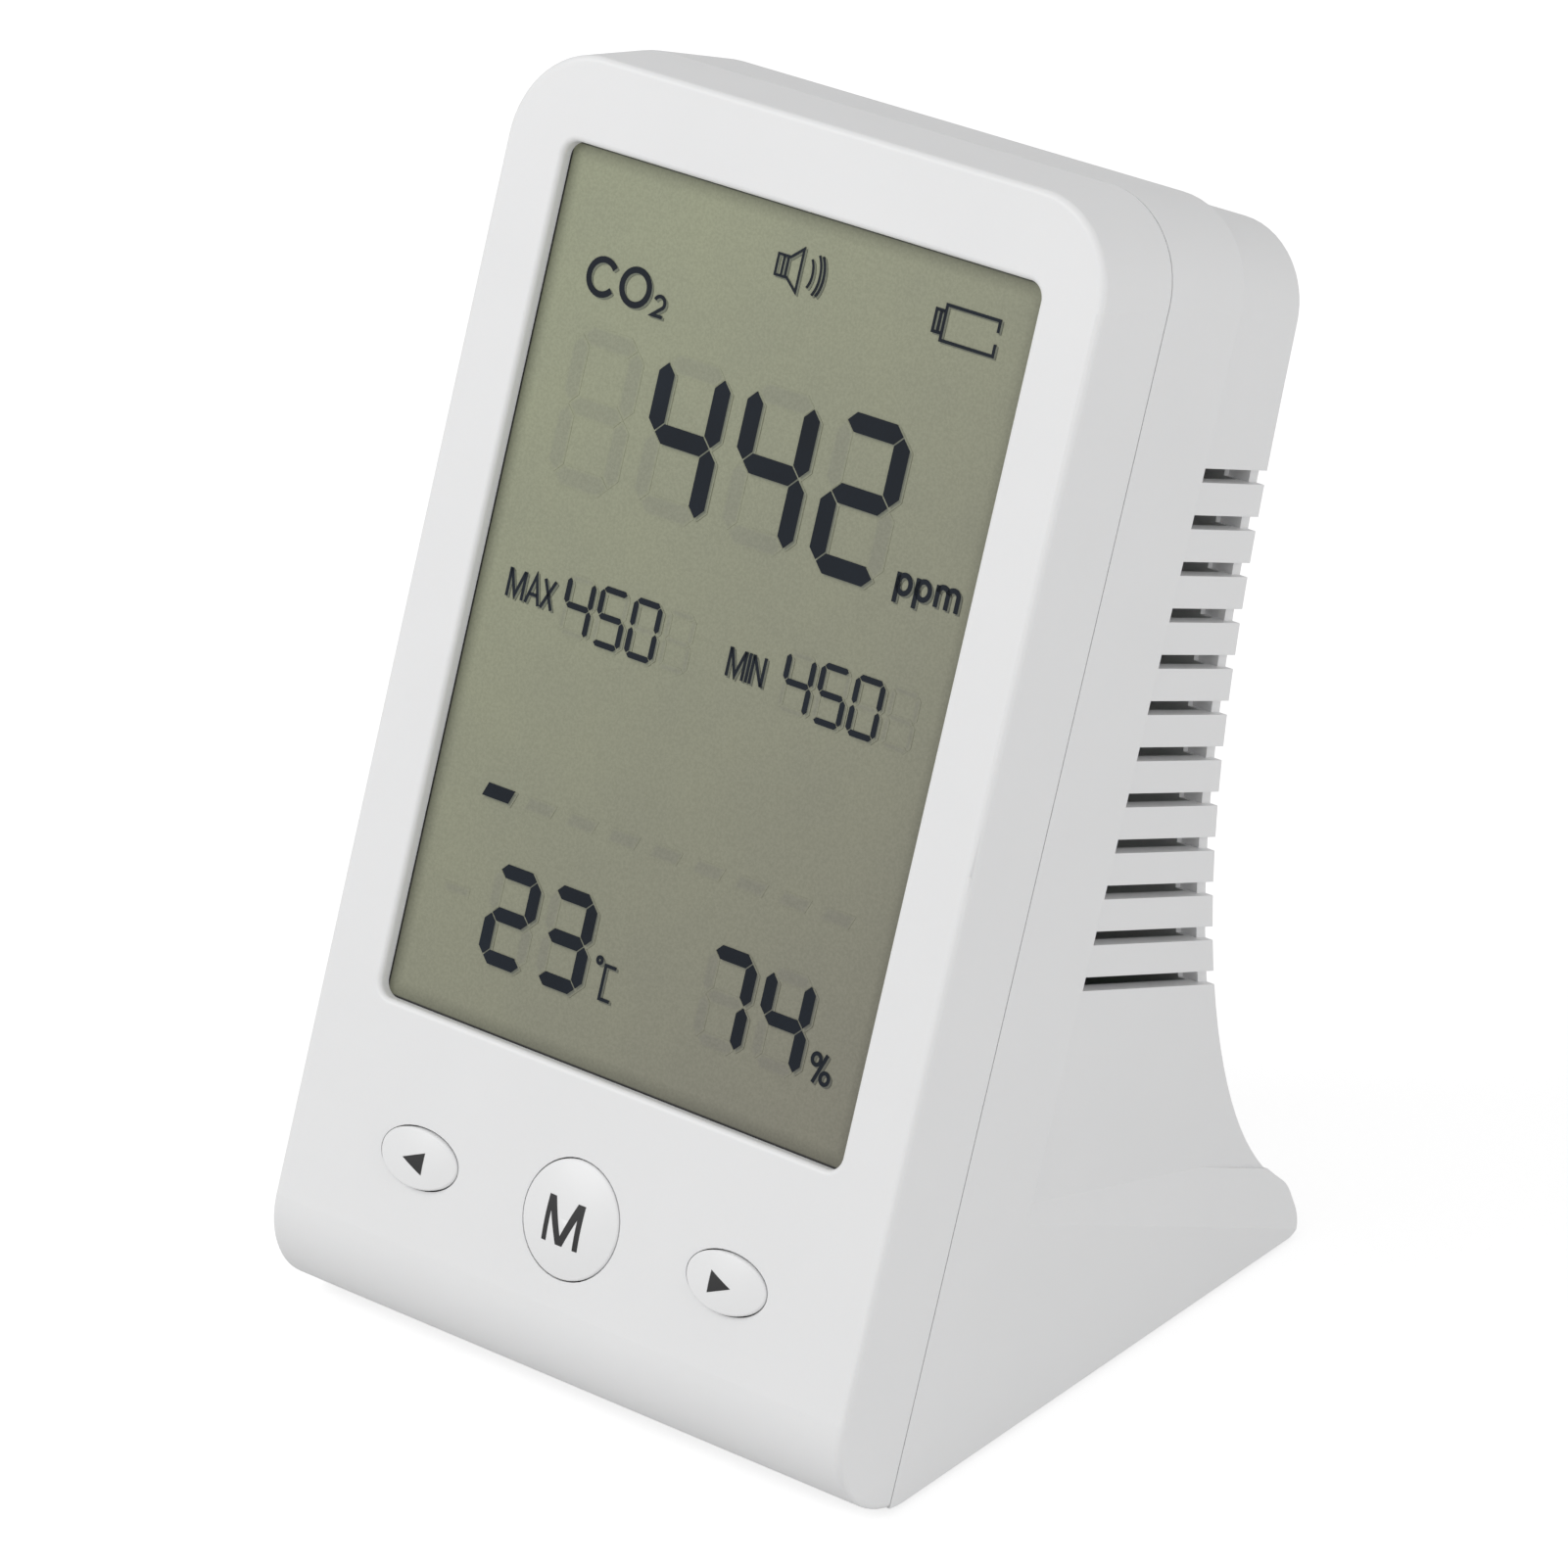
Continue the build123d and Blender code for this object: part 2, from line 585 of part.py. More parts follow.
board_holes = cylinder_in(BOARD_SCREWS, SMALL_CLEAR_R, BOARD_N - THROUGH, BOARD_BACK + THROUGH)
with BuildPart() as main_board:
    add(box_in(0, (BOARD_TOP + BOARD_BOTTOM) / 2, BOARD_W, BOARD_TOP - BOARD_BOTTOM,
               BOARD_N, BOARD_BACK, 3.0))
    add(board_holes, mode=Mode.SUBTRACT)
finish("main_board", main_board)


def socket(x, u, n0, n1, open_up):
    """Wire socket on a board, its mouth along the board."""
    mouth_u = u + (SOCKET_WALL if open_up else -SOCKET_WALL)
    with BuildPart() as body:
        add(box_in(x, u, SOCKET_W, SOCKET_H, n0, n1, 0.3))
        add(box_in(x, mouth_u, SOCKET_W - 2 * SOCKET_WALL, SOCKET_H, n0 + SOCKET_WALL, n1 - SOCKET_WALL),
            mode=Mode.SUBTRACT)
    return body


finish("link_socket_main", socket(0, LINK_U, BOARD_BACK, BOARD_BACK + SOCKET_T, open_up=True))
finish("power_socket", socket(*POWER_AT, BOARD_BACK, BOARD_BACK + SOCKET_T, open_up=False))
finish("charge_socket", socket(*CHARGE_AT, BOARD_BACK, BOARD_BACK + SOCKET_T, open_up=False))

with BuildPart() as controller_resin:
    add(cylinder_in([RESIN_AT], RESIN_R, BOARD_BACK, BOARD_BACK + RESIN_T))
    fillet(controller_resin.edges().sort_by(DEPTH)[-1], 1.4)
finish("controller_resin", controller_resin)

with BuildPart() as buzzer:
    add(cylinder_in([BUZZER_AT], BUZZER_R, BOARD_BACK, BOARD_BACK + BUZZER_T))
    fillet(buzzer.edges().sort_by(DEPTH)[-1], 0.6)
    add(cylinder_in([BUZZER_AT], BUZZER_HOLE_R, BOARD_BACK + BUZZER_T / 2, BOARD_BACK + BUZZER_T + THROUGH),
        mode=Mode.SUBTRACT)
finish("buzzer", buzzer)

# ---- sensor board ----
SENSOR_BACK = SENSOR_N + SENSOR_T
CELL_U = SENSOR_U + 6.0
CELL_WALL = 1.0
MEMBRANE_R = 4.0
MEMBRANE_T = 0.5
CAN_R = 2.4
CAN_H = 3.6
CAN_IN = 4.5                 # from the end of the cell to the middle of a can
CAN_RIM = 0.3
CHIP_AT = (12.0, 68.0)
CHIP_W = 3.0
CHIP_T = 1.1
CHIP_HOLE_R = 0.6
SENSOR_LINK_U = 69.0

with BuildPart() as sensor_board:
    add(box_in(0, SENSOR_U, SENSOR_W, SENSOR_H, SENSOR_N, SENSOR_BACK, 1.5))
    add(cylinder_in(SENSOR_SCREWS, SMALL_CLEAR_R, SENSOR_N - THROUGH, SENSOR_BACK + THROUGH),
        mode=Mode.SUBTRACT)
finish("sensor_board", sensor_board)

cell_back = SENSOR_BACK + CELL_H
with BuildPart() as co2_cell:
    add(box_in(0, CELL_U, CELL_W, CELL_L, SENSOR_BACK, cell_back, 2.5))
    fillet(co2_cell.faces().sort_by(DEPTH)[-1].edges(), 0.8)
    add(box_in(0, CELL_U, CELL_W - 2 * CELL_WALL, CELL_L - 2 * CELL_WALL, SENSOR_BACK,
               cell_back - CELL_WALL, 1.5), mode=Mode.SUBTRACT)
    add(cylinder_in([(0, CELL_U)], MEMBRANE_R, cell_back - 2 * CELL_WALL, cell_back + THROUGH),
        mode=Mode.SUBTRACT)
finish("co2_cell", co2_cell)

with BuildPart() as cell_membrane:
    membrane_n = cell_back - (CELL_WALL + MEMBRANE_T) / 2
    add(cylinder_in([(0, CELL_U)], MEMBRANE_R, membrane_n, membrane_n + MEMBRANE_T))
finish("cell_membrane", cell_membrane)


def can(name, u):
    """Round metal can standing on the sensor board inside the infrared cell."""
    with BuildPart() as part:
        add(cylinder_in([(0, u)], CAN_R, SENSOR_BACK, SENSOR_BACK + CAN_H))
        fillet(part.edges().sort_by(DEPTH)[-1], CAN_RIM)
        add(cylinder_in([(0, u)], CAN_R + CAN_RIM, SENSOR_BACK, SENSOR_BACK + CAN_RIM))
    finish(name, part)


can("infrared_lamp", CELL_U - CELL_L / 2 + CAN_IN)
can("infrared_detector", CELL_U + CELL_L / 2 - CAN_IN)

with BuildPart() as humidity_chip:
    add(box_in(*CHIP_AT, CHIP_W, CHIP_W, SENSOR_BACK, SENSOR_BACK + CHIP_T))
    add(cylinder_in([CHIP_AT], CHIP_HOLE_R, SENSOR_BACK + CHIP_T / 2, SENSOR_BACK + CHIP_T + THROUGH),
        mode=Mode.SUBTRACT)
finish("humidity_chip", humidity_chip)
finish("link_socket_sensor", socket(0, SENSOR_LINK_U, SENSOR_N - SOCKET_T, SENSOR_N, open_up=False))

# ---- power ----
PACK_Z = SKIN + PAD_T
CHARGE_TOP = CHARGE_Z + CHARGE_T
USB_X = -(BAND_W / 2 - 0.6)  # the socket's mouth, just inside the wall
USB_SHEET = 0.3              # sheet metal of the socket
USB_TONGUE = (6.6, 0.7)

with BuildPart() as battery_pad:
    add(box_on_base(PACK_X, PACK_S, PACK[0] - 10, PACK[1] - 8, SKIN, PACK_Z, 1.0))
finish("battery_pad", battery_pad)

with BuildPart() as battery_cell:
    add(box_on_base(PACK_X, PACK_S, PACK[0], PACK[1], PACK_Z, PACK_Z + PACK[2], 2.0))
    flats = battery_cell.faces().filter_by(Axis.Z)
    fillet(flats.edges(), 1.5)
finish("battery_cell", battery_cell)

charge_holes = upright(CHARGE_SCREWS, SMALL_CLEAR_R, CHARGE_Z - THROUGH, CHARGE_TOP + THROUGH)
with BuildPart() as charge_board:
    add(box_on_base(CHARGE_X, PORT_S, CHARGE_W, CHARGE_D, CHARGE_Z, CHARGE_TOP, 1.0))
    add(charge_holes, mode=Mode.SUBTRACT)
finish("charge_board", charge_board)

with BuildPart() as usb_socket:
    with BuildSketch(STAND.offset(USB_X)):
        with Locations((PORT_S, CHARGE_TOP + USB_H / 2)):
            RectangleRounded(USB_W, USB_H, 1.5)
    extrude(amount=USB_L)
    with BuildSketch(STAND.offset(USB_X)):
        with Locations((PORT_S, CHARGE_TOP + USB_H / 2)):
            RectangleRounded(USB_W - 2 * USB_SHEET, USB_H - 2 * USB_SHEET, 1.5 - USB_SHEET)
            Rectangle(*USB_TONGUE, mode=Mode.SUBTRACT)
    extrude(amount=USB_L - THROUGH, mode=Mode.SUBTRACT)
finish("usb_socket", usb_socket)


# ---- wires ----
WIRE_R = 0.55
WIRE_STEP = 1.5
WIRE_BEND = 2.0
WIRE_IN = 0.6                # how far a wire's end is inside its socket's middle
WIRE_RISE = 6.2              # height of the sensor wires' loop over their socket
PACK_WIRE_Z = 8.0


def wire(name, path_points, offsets, plane_x):
    """Parallel insulated wires in planes across the housing, along one route of (s, z) points."""
    with BuildPart() as loom:
        for offset_x in offsets:
            plane = STAND.offset(plane_x + offset_x)
            with BuildLine(plane) as route:
                FilletPolyline(*path_points, radius=WIRE_BEND)
            with BuildSketch(Plane(route.line @ 0, z_dir=route.line % 0)):
                Circle(WIRE_R)
            sweep(path=route.line)
    finish(name, loom)


mouth_n = BOARD_BACK + SOCKET_T / 2
power_end = [lean_point(mouth_n, POWER_AT[1] - 10), lean_point(mouth_n, POWER_AT[1] - WIRE_IN)]
pack_front = PACK_S - PACK[1] / 2
cell_route = [(pack_front, PACK_WIRE_Z), (pack_front - 7, PACK_WIRE_Z)] + power_end
wire("battery_wire_positive", cell_route, [0.8], POWER_AT[0])
wire("battery_wire_negative", cell_route, [-0.8], POWER_AT[0])
charge_front = PORT_S - CHARGE_D / 2 + WIRE_STEP
charge_wire_z = CHARGE_TOP + WIRE_R
charge_route = [(charge_front, charge_wire_z), (charge_front - 10, charge_wire_z)] + power_end
wire("charge_wires", charge_route, [-0.8, 0.8], CHARGE_AT[0])
sensor_mouth_n = SENSOR_N - SOCKET_T / 2
link_route = [lean_point(mouth_n, LINK_U + WIRE_IN), lean_point(mouth_n, LINK_U + WIRE_RISE),
              lean_point(sensor_mouth_n, LINK_U + WIRE_RISE),
              lean_point(sensor_mouth_n, SENSOR_LINK_U - WIRE_IN)]
wire("sensor_wires", link_route, [WIRE_STEP * i for i in (-1.5, -0.5, 0.5, 1.5)], 0)


# ---- screws and feet ----
def screws(name, seat, points, shank_r, length, head_r, head_h):
    """Cross-head screws, heads on the seat plane, shanks going down through it."""
    with BuildPart() as group:
        with BuildSketch(seat):
            with Locations(*points):
                Circle(shank_r)
        extrude(amount=-length)
        with BuildSketch(seat):
            with Locations(*points):
                Circle(head_r)
        extrude(amount=head_h)
        tops = group.faces().filter_by(lambda f: f.normal_at().dot(seat.z_dir) > 0.99)
        chamfer(tops.edges(), head_h * 0.3)
        with BuildSketch(seat.offset(head_h)):
            with Locations(*points):
                Rectangle(head_r * 1.1, head_r * 0.28)
                Rectangle(head_r * 0.28, head_r * 1.1)
        extrude(amount=-head_h * 0.6, mode=Mode.SUBTRACT)
    finish(name, group)


UNDER = Plane(CORNER, x_dir=(1, 0, 0), z_dir=(0, 0, -1))
screws("rear_screws", rear_plane(TOP_SEAT_N), TOP_SCREWS, SCREW_R, 10.5, HEAD_R, 1.8)
screws("base_screws", UNDER.offset(-BASE_WELL), [(x, -s) for x, s in BASE_SCREWS], SCREW_R, 7.0,
       HEAD_R, 1.2)
screws("board_screws", rear_plane(BOARD_BACK), BOARD_SCREWS, SMALL_SCREW_R, 4.6, SMALL_HEAD_R, 1.2)
screws("sensor_screws", FACE.offset(-SENSOR_N), SENSOR_SCREWS, SMALL_SCREW_R, 7.0, SMALL_HEAD_R, 1.2)
screws("charge_screws", BASE.offset(CHARGE_TOP), CHARGE_SCREWS, SMALL_SCREW_R, 4.4, SMALL_HEAD_R, 1.0)

with BuildPart() as rubber_feet:
    add(upright(FEET, FOOT_R, -FOOT_PROUD, FOOT_SINK))
    bottoms = rubber_feet.faces().filter_by(Axis.Z).group_by(Axis.Z)[0]
    fillet(bottoms.edges(), 0.3)
finish("rubber_feet", rubber_feet)
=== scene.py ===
import json
from math import cos, radians, sin

import bmesh
import bpy
from mathutils import Matrix, Vector
from mathutils.bvhtree import BVHTree


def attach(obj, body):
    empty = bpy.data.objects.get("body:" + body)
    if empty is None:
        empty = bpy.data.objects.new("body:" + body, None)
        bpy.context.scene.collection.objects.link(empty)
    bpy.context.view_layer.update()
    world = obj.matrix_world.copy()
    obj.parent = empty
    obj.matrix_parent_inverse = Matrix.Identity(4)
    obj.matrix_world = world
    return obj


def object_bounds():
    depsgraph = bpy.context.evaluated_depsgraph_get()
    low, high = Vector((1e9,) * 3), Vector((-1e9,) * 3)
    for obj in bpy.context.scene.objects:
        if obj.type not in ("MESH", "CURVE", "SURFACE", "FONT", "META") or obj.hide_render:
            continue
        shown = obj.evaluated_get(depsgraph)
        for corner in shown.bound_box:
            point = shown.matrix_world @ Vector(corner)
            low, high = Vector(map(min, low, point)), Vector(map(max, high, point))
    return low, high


# Looks of the carbon dioxide monitor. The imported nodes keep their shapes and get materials.
# The display's picture and the signs on the buttons are thin pieces laid on those nodes.

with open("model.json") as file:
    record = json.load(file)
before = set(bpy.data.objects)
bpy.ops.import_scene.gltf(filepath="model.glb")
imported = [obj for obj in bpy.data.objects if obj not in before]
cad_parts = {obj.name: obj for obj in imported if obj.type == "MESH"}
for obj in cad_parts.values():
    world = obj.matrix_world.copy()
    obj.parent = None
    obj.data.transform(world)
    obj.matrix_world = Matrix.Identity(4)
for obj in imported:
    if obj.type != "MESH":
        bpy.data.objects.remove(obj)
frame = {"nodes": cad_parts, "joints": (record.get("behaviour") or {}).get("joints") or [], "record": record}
CAD_LOW, CAD_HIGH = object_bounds()
NODES = frame["nodes"]
MM = 0.001

# The housing leans back: these are the directions of its face.
INTO = Vector(frame["joints"][0]["axis"]).normalized()
ACROSS = Vector((1, 0, 0))
UPWARD = ACROSS.cross(INTO)


# ---- where things are ----
def reach(node, axis):
    """Lowest and highest place of a CAD node along an axis."""
    places = [vertex.co.dot(axis) for vertex in NODES[node].data.vertices]
    return min(places), max(places)


def middle(node, axis):
    """Middle of a CAD node along an axis."""
    return sum(reach(node, axis)) / 2


FILM = "lcd_front_film"
FILM_CENTRE = (middle(FILM, ACROSS) * ACROSS + middle(FILM, UPWARD) * UPWARD
               + reach(FILM, INTO)[0] * INTO)


PICTURE_RIGHT = 0.65         # the picture sits this far right of the film's middle, mm


def on_film(x, y, lift):
    """Point over the display, in mm from the picture's middle and from the film's surface."""
    return FILM_CENTRE + ((x + PICTURE_RIGHT) * ACROSS + y * UPWARD - lift * INTO) * MM


CAST_FROM = 10               # rays at a button's crown start this far in front of it, mm


class Crown:
    """The domed top of a button, to lay a sign on."""

    def __init__(self, node):
        mesh = NODES[node].data
        self.tree = BVHTree.FromPolygons([v.co for v in mesh.vertices],
                                         [p.vertices for p in mesh.polygons])
        self.centre = middle(node, ACROSS) * ACROSS + middle(node, UPWARD) * UPWARD
        self.start = reach(node, INTO)[0] - CAST_FROM * MM

    def __call__(self, x, y, lift):
        above = self.centre + (x * ACROSS + y * UPWARD) * MM + self.start * INTO
        point = self.tree.ray_cast(above, INTO)[0]
        return point - lift * MM * INTO


def add_piece(mesh, name, look, body):
    """Finish a mesh as a piece that rides on a body."""
    bmesh.ops.recalc_face_normals(mesh, faces=mesh.faces)
    data = bpy.data.meshes.new(name)
    mesh.to_mesh(data)
    mesh.free()
    piece = bpy.data.objects.new(name, data)
    bpy.context.scene.collection.objects.link(piece)
    data.materials.append(look)
    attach(piece, body)


# ---- thin shapes: outlines in mm, laid on a surface ----
PLATE_T = 0.03               # thickness of every plate and line of the picture
PLATE_MITRE = 0.3            # these keep the sharp corners of plates and lines from running far out
LINE_MITRE = 0.35


class Layer:
    """One mesh of thin closed plates, all of one material."""

    def __init__(self, lay, lift):
        self.lay = lay
        self.lift = lift
        self.mesh = bmesh.new()
        self.fade = self.mesh.loops.layers.float_color.new("fade")

    def corner(self, point, top):
        lift = self.lift if top else self.lift - PLATE_T
        return self.mesh.verts.new(self.lay(point[0], point[1], lift))

    def face(self, corners, fades=None):
        made = self.mesh.faces.new(corners)
        for loop, value in zip(made.loops, fades or [1.0] * len(corners)):
            loop[self.fade] = (value, value, value, 1.0)

    def walls(self, tops, bottoms):
        for i in range(len(tops)):
            j = (i + 1) % len(tops)
            self.face([tops[j], tops[i], bottoms[i], bottoms[j]], [0.0] * 4)

    def plate(self, outline):
        """Flat plate with a closed outline, counter-clockwise."""
        tops = [self.corner(point, True) for point in outline]
        bottoms = [self.corner(point, False) for point in outline]
        self.face(tops)
        self.face(bottoms[::-1])
        self.walls(tops, bottoms)

    def soft_plate(self, outline, out, into):
        """Plate of a convex outline that fades away from into inside it to out beyond it."""
        outer = grown(outline, out)
        inner = grown(outline, -into)
        cores = [self.corner(point, True) for point in inner]
        tops = [self.corner(point, True) for point in outer]
        bottoms = [self.corner(point, False) for point in outer]
        self.face(cores)
        for i in range(len(outer)):
            j = (i + 1) % len(outer)
            self.face([cores[j], cores[i], tops[i], tops[j]], [1.0, 1.0, 0.0, 0.0])
        self.face(bottoms[::-1])
        self.walls(tops, bottoms)

    def stroke(self, points, width, closed):
        """Line of one width along a route, as a closed bar."""
        left, right = edges_of(points, width, closed)
        rows = []
        for a, b in zip(left, right):
            rows.append([self.corner(a, True), self.corner(b, True),
                         self.corner(b, False), self.corner(a, False)])
        count = len(rows)
        for i in range(count if closed else count - 1):
            here, there = rows[i], rows[(i + 1) % count]
            for k in range(4):
                m = (k + 1) % 4
                self.face([here[k], here[m], there[m], there[k]])
        if not closed:
            self.face(rows[0][::-1])
            self.face(rows[-1])


def turned(vector):
    """A flat vector turned a quarter turn to the left."""
    return Vector((-vector.y, vector.x))


def grown(outline, amount):
    """A convex counter-clockwise outline with each side moved outwards."""
    points = [Vector(point) for point in outline]
    made = []
    for i, point in enumerate(points):
        before = (point - points[i - 1]).normalized()
        after = (points[(i + 1) % len(points)] - point).normalized()
        normal = -(turned(before) + turned(after)).normalized()
        made.append(point + normal * amount / max(PLATE_MITRE, normal.dot(-turned(before))))
    return made


def edges_of(points, width, closed):
    """Both edges of a line of one width along a route, mitred at its corners."""
    route = [Vector(point) for point in points]
    count = len(route)
    left, right = [], []
    for i, point in enumerate(route):
        before = point - route[i - 1] if closed or i else route[1] - route[0]
        after = route[(i + 1) % count] - point if closed or i < count - 1 else before
        side_before = turned(before.normalized())
        mitre = (side_before + turned(after.normalized())).normalized()
        reach_out = width / 2 / max(LINE_MITRE, mitre.dot(side_before))
        left.append(point + mitre * reach_out)
        right.append(point - mitre * reach_out)
    return left, right


def arc(centre, across, up, start, end, steps=24):
    """Points of an elliptical arc; angles in degrees, counter-clockwise from the right."""
    angles = [radians(start + (end - start) * i / steps) for i in range(steps + 1)]
    return [(centre[0] + across * cos(a), centre[1] + up * sin(a)) for a in angles]


def ring(centre, across, up, steps=32):
    """Points all round an ellipse."""
    return arc(centre, across, up, 0, 360, steps)[:-1]


def bar(start, end, thick, gap):
    """Outline of one display segment: a bar with pointed ends, gap short of both corners."""
    a, b = Vector(start), Vector(end)
    along = (b - a).normalized()
    side = turned(along) * thick / 2
    tip_a, tip_b = a + along * gap, b - along * gap
    inset = along * thick / 2
    return [tip_a, tip_a + inset - side, tip_b - inset - side, tip_b,
            tip_b - inset + side, tip_a + inset + side]


# ---- the display's picture, in mm from the middle of the film ----
SEGMENTS = {"0": "abcdef", "1": "bc", "2": "abged", "3": "abgcd", "4": "fgbc", "5": "afgcd",
            "6": "afgedc", "7": "abc", "8": "abcdefg", "9": "abcdfg", " ": ""}
# width and height between the segments' middles, their thickness, and the gap at each end
DIGIT_SIZES = {"large": (7.65, 15.0, 2.1, 0.13), "medium": (5.15, 9.4, 1.5, 0.11),
               "small": (3.3, 5.8, 0.66, 0.09)}
SHADOW = (0.34, -0.2)        # how far the picture's shadow falls on the reflector behind it
SHADOW_RIM = (0.09, 0.2)     # the shadow fades out over this much beyond and inside its outline
GHOST_RIM = (0.05, 0.32)
STROKE_FALL, STROKE_SLIM = 0.8, 0.9  # the lines' shadow falls less far, and is a little thinner
FINE_RIM = (0.05, 0.28)      # both, for the small figures


def fallen(points, share=1.0):
    """Points moved to where their shadow falls."""
    return [(p[0] + SHADOW[0] * share, p[1] + SHADOW[1] * share) for p in points]


def digit_bars(x, y, size):
    """Outlines of a digit's seven segments by letter, centred on x, y."""
    width, height, thick, gap = DIGIT_SIZES[size]
    left, right = x - width / 2, x + width / 2
    top, low = y + height / 2, y - height / 2
    ends = {"a": ((left, top), (right, top)), "b": ((right, y), (right, top)),
            "c": ((right, low), (right, y)), "d": ((left, low), (right, low)),
            "e": ((left, low), (left, y)), "f": ((left, y), (left, top)),
            "g": ((left, y), (right, y))}
    return {letter: bar(*pair, thick, gap) for letter, pair in ends.items()}


def place_digit(layers, value, x, y, size):
    """Lit segments with their shadows, and the unlit ones as faint ghosts."""
    lit, shade, ghost = layers
    for letter, outline in digit_bars(x, y, size).items():
        if letter in SEGMENTS[value]:
            lit.plate(outline)
            shade.soft_plate(fallen(outline), *(FINE_RIM if size == "small" else SHADOW_RIM))
        else:
            ghost.soft_plate(outline, *(FINE_RIM if size == "small" else GHOST_RIM))


def place_strokes(layers, strokes, width):
    """Lines of the picture with a fainter copy for their shadow."""
    lit, shade, _ = layers
    for points, closed in strokes:
        lit.stroke(points, width, closed)
        shade.stroke(fallen(points, STROKE_FALL), width * STROKE_SLIM, closed)


def shifted(strokes, x, y, width, height):
    """Strokes of a letter moved to their place."""
    return [([(x + width * p[0], y + height * p[1]) for p in points], closed)
            for points, closed in strokes]


def polyline(*points):
    return (list(points), False)


LETTER_M = [polyline((0, 0), (0, 1)), polyline((0.04, 0.98), (0.42, 0.1), (0.8, 0.98)),
            polyline((0.84, 1), (0.84, 0))]
LETTER_N = [polyline((0, 0), (0, 1)), polyline((0.02, 0.97), (0.6, 0.03)),
            polyline((0.62, 1), (0.62, 0))]
LETTER_A = [polyline((0, 0), (0.36, 1), (0.72, 0)), polyline((0.15, 0.33), (0.57, 0.33))]
LETTER_X = [polyline((0, 0), (0.6, 1)), polyline((0, 1), (0.6, 0))]
LETTER_I = [polyline((0, 0), (0, 1))]
CAPITAL_SLIM = 0.8           # the capitals are narrower than drawn above


def word(letters, x, y, height):
    """Capital letters side by side: each is given with the width it takes."""
    strokes = []
    scale = height * CAPITAL_SLIM
    for letter, width in letters:
        strokes += shifted(letter, x, y, scale, height)
        x += width * scale
    return strokes


def formula_strokes(x, y):
    """C and O of the gas formula, the C centred on x, y."""
    letter_c = arc((x, y), 1.85, 1.85, 38, 322)
    letter_o = ring((x + 4.6, y), 1.85, 1.85)
    return [(letter_c, False), (letter_o, True)]


def two_strokes(x, y, width, height):
    """The small figure 2 below the line."""
    radius = width / 2
    bow = arc((x + radius, y + height - radius), radius, radius, 160, -35, 14)
    return [(bow + [(x, y), (x + width, y)], False)]


def ppm_strokes(x, y):
    """The unit of the large figure."""
    rise = 2.2
    strokes = []
    for start in (x, x + 2.55):
        strokes.append(polyline((start, y + rise), (start, y - 0.95)))
        strokes.append((ring((start + 0.85, y + rise / 2), 0.82, 0.95, 20), True))
    foot = x + 5.2
    strokes.append(polyline((foot, y + rise), (foot, y - 0.1)))
    for hump in (0, 1.35):
        bow = arc((foot + hump + 0.675, y + rise - 0.7), 0.675, 0.62, 180, 0, 10)
        strokes.append((bow + [(foot + hump + 1.35, y - 0.1)], False))
    return strokes


WAVE_ANGLE = 50              # half the sweep of a sound wave, degrees
WAVE_SLIM = 0.6              # its width for its height


def speaker_strokes(x, y):
    """Loudspeaker sign: a box, a cone and three waves."""
    box = [(x - 1.35, y - 1.1), (x, y - 1.1), (x, y + 1.1), (x - 1.35, y + 1.1)]
    cone = [(x + 0.15, y - 1.0), (x + 1.75, y - 2.3), (x + 1.75, y + 2.3), (x + 0.15, y + 1.0)]
    strokes = [(box, True), polyline((x - 0.55, y - 1.1), (x - 0.55, y + 1.1)), (cone, False)]
    for bulge, half in ((3.45, 1.5), (4.45, 2.1), (4.95, 2.1)):
        up = half / sin(radians(WAVE_ANGLE))
        across = WAVE_SLIM * up
        wave = arc((x + bulge - across, y), across, up, -WAVE_ANGLE, WAVE_ANGLE, 12)
        strokes.append((wave, False))
    return strokes


def battery_strokes(x, y):
    """Battery sign, its right end open in the middle."""
    upper = [(x + 6.9, y + 0.6), (x + 6.9, y + 1.85), (x, y + 1.85), (x, y - 1.85),
             (x + 6.9, y - 1.85), (x + 6.9, y - 0.6)]
    cap = [(x - 0.1, y + 1.15), (x - 1.2, y + 1.15), (x - 1.2, y - 1.15), (x - 0.1, y - 1.15)]
    return [(upper, False), (cap, False), polyline((x - 0.55, y - 1.1), (x - 0.55, y + 1.1))]


def percent_strokes(x, y):
    """Per cent sign: two rings and a slash."""
    return [(ring((x, y + 0.85), 0.55, 0.6, 18), True), (ring((x + 1.5, y - 0.85), 0.55, 0.6, 18), True),
            polyline((x + 0.05, y - 1.6), (x + 1.3, y + 1.6))]


def celsius_strokes(x, y):
    """Degree ring and a thin C with square shoulders."""
    letter = [(x + 2.35, y + 1.75), (x + 0.95, y + 1.75), (x + 0.95, y - 1.85), (x + 2.35, y - 1.85)]
    return [(ring((x, y + 2.05), 0.32, 0.34, 14), True), (letter, False)]


# places of the figures; a dash is given by its middle
LARGE_Y, SMALL_Y, MEDIUM_Y = 20.0, -0.35, -34.3
LARGE_X = (-22.0, -10.05, 2.05, 14.05)
MAX_X, MIN_X = (-18.7, -14.1, -9.5, -4.9), (11.5, 16.1, 20.7, 25.3)
TENS_X, PERCENT_X = (-18.45, -10.55), (11.45, 19.4)
DASH_Y, DASH_X, DASH_PITCH, DASHES = -22.0, -23.8, 5.85, 9
MINUS = [(-28.0, -33.9), (-24.6, -33.9), (-24.6, -32.9), (-28.0, -32.9)]
WORD_HEIGHT = 3.1
LETTERS_MAX = [(LETTER_M, 1.06), (LETTER_A, 0.86), (LETTER_X, 0.7)]
LETTERS_MIN = [(LETTER_M, 1.06), (LETTER_I, 0.2), (LETTER_N, 0.8)]


